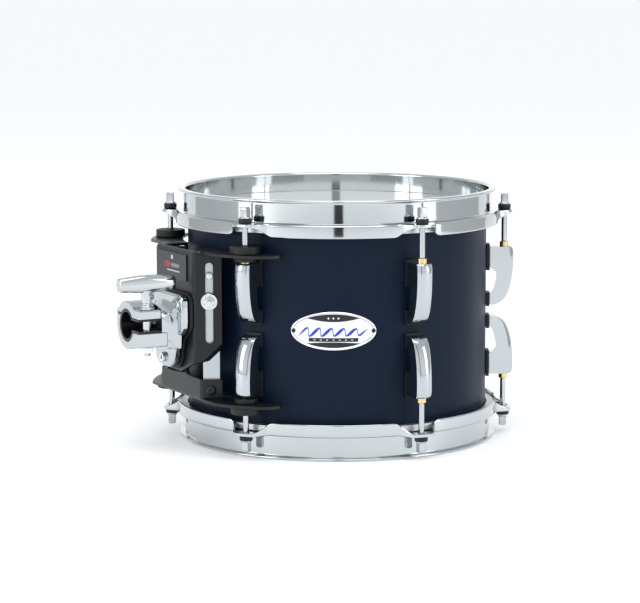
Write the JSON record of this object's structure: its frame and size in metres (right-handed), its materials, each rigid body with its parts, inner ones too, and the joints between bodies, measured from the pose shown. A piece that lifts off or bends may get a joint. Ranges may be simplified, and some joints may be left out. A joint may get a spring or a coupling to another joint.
{
  "type": "tom tom drum",
  "caption": "Rack tom drum: lacquered shell, clear heads, flanged chrome hoops on tension rods and split lugs, hung by its rods from a black bracket with a hinged tube clamp.",
  "frame": {"origin": "centre of the batter head's playing face, on the drum's axis", "axes": "+Z along the drum's axis, out of the batter head; -X out of the front of the tube clamp; +Y completes the right-handed frame"},
  "size_m": [0.3458, 0.2986, 0.21],
  "materials": {
    "shell_lacquer": "satin navy lacquer over maple plies",
    "clear_film": "clear polyester film",
    "flesh_hoop_aluminium": "plain extruded aluminium",
    "chrome": "polished chrome plate",
    "rod_steel": "chrome-plated steel, threaded lower half",
    "badge_silver": "bright rim round an etched oval field",
    "black_steel": "satin black powder coat",
    "zinc_steel": "bright zinc plate",
    "bright_steel": "bright zinc plate, turned",
    "black_oxide": "black oxide",
    "black_rubber": "moulded black rubber",
    "black_plastic": "moulded black nylon",
    "label": "dark printed plate with made-up marks"
  },
  "bodies": {
    "drum": {"shell": "shell_lacquer", "badge": "badge_silver", "air_vent": "chrome", "mount_upper_bracket": "black_steel", "mount_lower_bracket": "black_steel", "clamp_base_pad": "black_rubber", "clamp_casting": "chrome", "clamp_hinge_pin": "bright_steel", "clamp_sleeve": "black_plastic", "clamp_nut": "bright_steel", "label_plate": "label", "batter_head": "clear_film", "batter_flesh_hoop": "flesh_hoop_aluminium", "batter_hoop": "chrome", "batter_lug_1": "chrome", "batter_lug_2": "chrome", "batter_lug_3": "chrome", "batter_lug_4": "chrome", "batter_lug_5": "chrome", "batter_lug_6": "chrome", "resonant_head": "clear_film", "resonant_flesh_hoop": "flesh_hoop_aluminium", "resonant_hoop": "chrome", "resonant_lug_1": "chrome", "resonant_lug_2": "chrome", "resonant_lug_3": "chrome", "resonant_lug_4": "chrome", "resonant_lug_5": "chrome", "resonant_lug_6": "chrome", "slide_bar_1": "zinc_steel", "slot_bolt_1": "bright_steel", "guide_pin_1": "bright_steel", "band_screw_1": "black_oxide", "upper_grommet_1": "black_rubber", "lower_grommet_1": "black_rubber", "slide_bar_2": "zinc_steel", "slot_bolt_2": "bright_steel", "guide_pin_2": "bright_steel", "band_screw_2": "black_oxide", "upper_grommet_2": "black_rubber", "lower_grommet_2": "black_rubber", "base_screw_1": "chrome", "base_screw_2": "chrome", "base_screw_3": "chrome"},
    "batter_rod_1_body": {"batter_rod_1": "rod_steel"},
    "batter_rod_2_body": {"batter_rod_2": "rod_steel"},
    "batter_rod_3_body": {"batter_rod_3": "rod_steel"},
    "batter_rod_4_body": {"batter_rod_4": "rod_steel"},
    "batter_rod_5_body": {"batter_rod_5": "rod_steel"},
    "batter_rod_6_body": {"batter_rod_6": "rod_steel"},
    "resonant_rod_1_body": {"resonant_rod_1": "rod_steel"},
    "resonant_rod_2_body": {"resonant_rod_2": "rod_steel"},
    "resonant_rod_3_body": {"resonant_rod_3": "rod_steel"},
    "resonant_rod_4_body": {"resonant_rod_4": "rod_steel"},
    "resonant_rod_5_body": {"resonant_rod_5": "rod_steel"},
    "resonant_rod_6_body": {"resonant_rod_6": "rod_steel"},
    "washer_body": {"wing_bolt_washer": "bright_steel"},
    "wing_bolt_body": {"wing_bolt": "chrome"},
    "jaw_body": {"clamp_jaw": "chrome"}
  },
  "joints": [
    {"name": "batter_rod_1_turn", "type": "hinge", "parent": "drum", "child": "batter_rod_1_body", "pos_m": [0, -0.1411, 0], "axis": [0, 0, 1], "continuous": true},
    {"name": "batter_rod_2_turn", "type": "hinge", "parent": "drum", "child": "batter_rod_2_body", "pos_m": [0.1222, -0.07055, 0], "axis": [0, 0, 1], "continuous": true},
    {"name": "batter_rod_3_turn", "type": "hinge", "parent": "drum", "child": "batter_rod_3_body", "pos_m": [0.1222, 0.07055, 0], "axis": [0, 0, 1], "continuous": true},
    {"name": "batter_rod_4_turn", "type": "hinge", "parent": "drum", "child": "batter_rod_4_body", "pos_m": [0, 0.1411, 0], "axis": [0, 0, 1], "continuous": true},
    {"name": "batter_rod_5_turn", "type": "hinge", "parent": "drum", "child": "batter_rod_5_body", "pos_m": [-0.1222, 0.07055, 0], "axis": [0, 0, 1], "continuous": true},
    {"name": "batter_rod_6_turn", "type": "hinge", "parent": "drum", "child": "batter_rod_6_body", "pos_m": [-0.1222, -0.07055, 0], "axis": [0, 0, 1], "continuous": true},
    {"name": "resonant_rod_1_turn", "type": "hinge", "parent": "drum", "child": "resonant_rod_1_body", "pos_m": [0, -0.1411, -0.1778], "axis": [0, 0, 1], "continuous": true},
    {"name": "resonant_rod_2_turn", "type": "hinge", "parent": "drum", "child": "resonant_rod_2_body", "pos_m": [0.1222, -0.07055, -0.1778], "axis": [0, 0, 1], "continuous": true},
    {"name": "resonant_rod_3_turn", "type": "hinge", "parent": "drum", "child": "resonant_rod_3_body", "pos_m": [0.1222, 0.07055, -0.1778], "axis": [0, 0, 1], "continuous": true},
    {"name": "resonant_rod_4_turn", "type": "hinge", "parent": "drum", "child": "resonant_rod_4_body", "pos_m": [0, 0.1411, -0.1778], "axis": [0, 0, 1], "continuous": true},
    {"name": "resonant_rod_5_turn", "type": "hinge", "parent": "drum", "child": "resonant_rod_5_body", "pos_m": [-0.1222, 0.07055, -0.1778], "axis": [0, 0, 1], "continuous": true},
    {"name": "resonant_rod_6_turn", "type": "hinge", "parent": "drum", "child": "resonant_rod_6_body", "pos_m": [-0.1222, -0.07055, -0.1778], "axis": [0, 0, 1], "continuous": true},
    {"name": "wing_bolt_lift", "type": "slide", "parent": "drum", "child": "washer_body", "axis": [0, 0, 1], "range_m": [0, 0.00301]},
    {"name": "wing_bolt_turn", "type": "hinge", "parent": "washer_body", "child": "wing_bolt_body", "pos_m": [-0.1852, -0.018, -0.0729], "axis": [0, 0, 1], "range_deg": [0, 1080]},
    {"name": "jaw_open", "type": "hinge", "parent": "drum", "child": "jaw_body", "pos_m": [-0.1852, 0.0206, -0.0805], "axis": [-1, 0, 0], "range_deg": [0, 3.9]}
  ],
  "couplings": [
    {"joint": "wing_bolt_lift", "follows": "wing_bolt_turn", "m_per_rad": 0.00015915},
    {"joint": "jaw_open", "follows": "wing_bolt_turn", "ratio": 0.0035765}
  ]
}
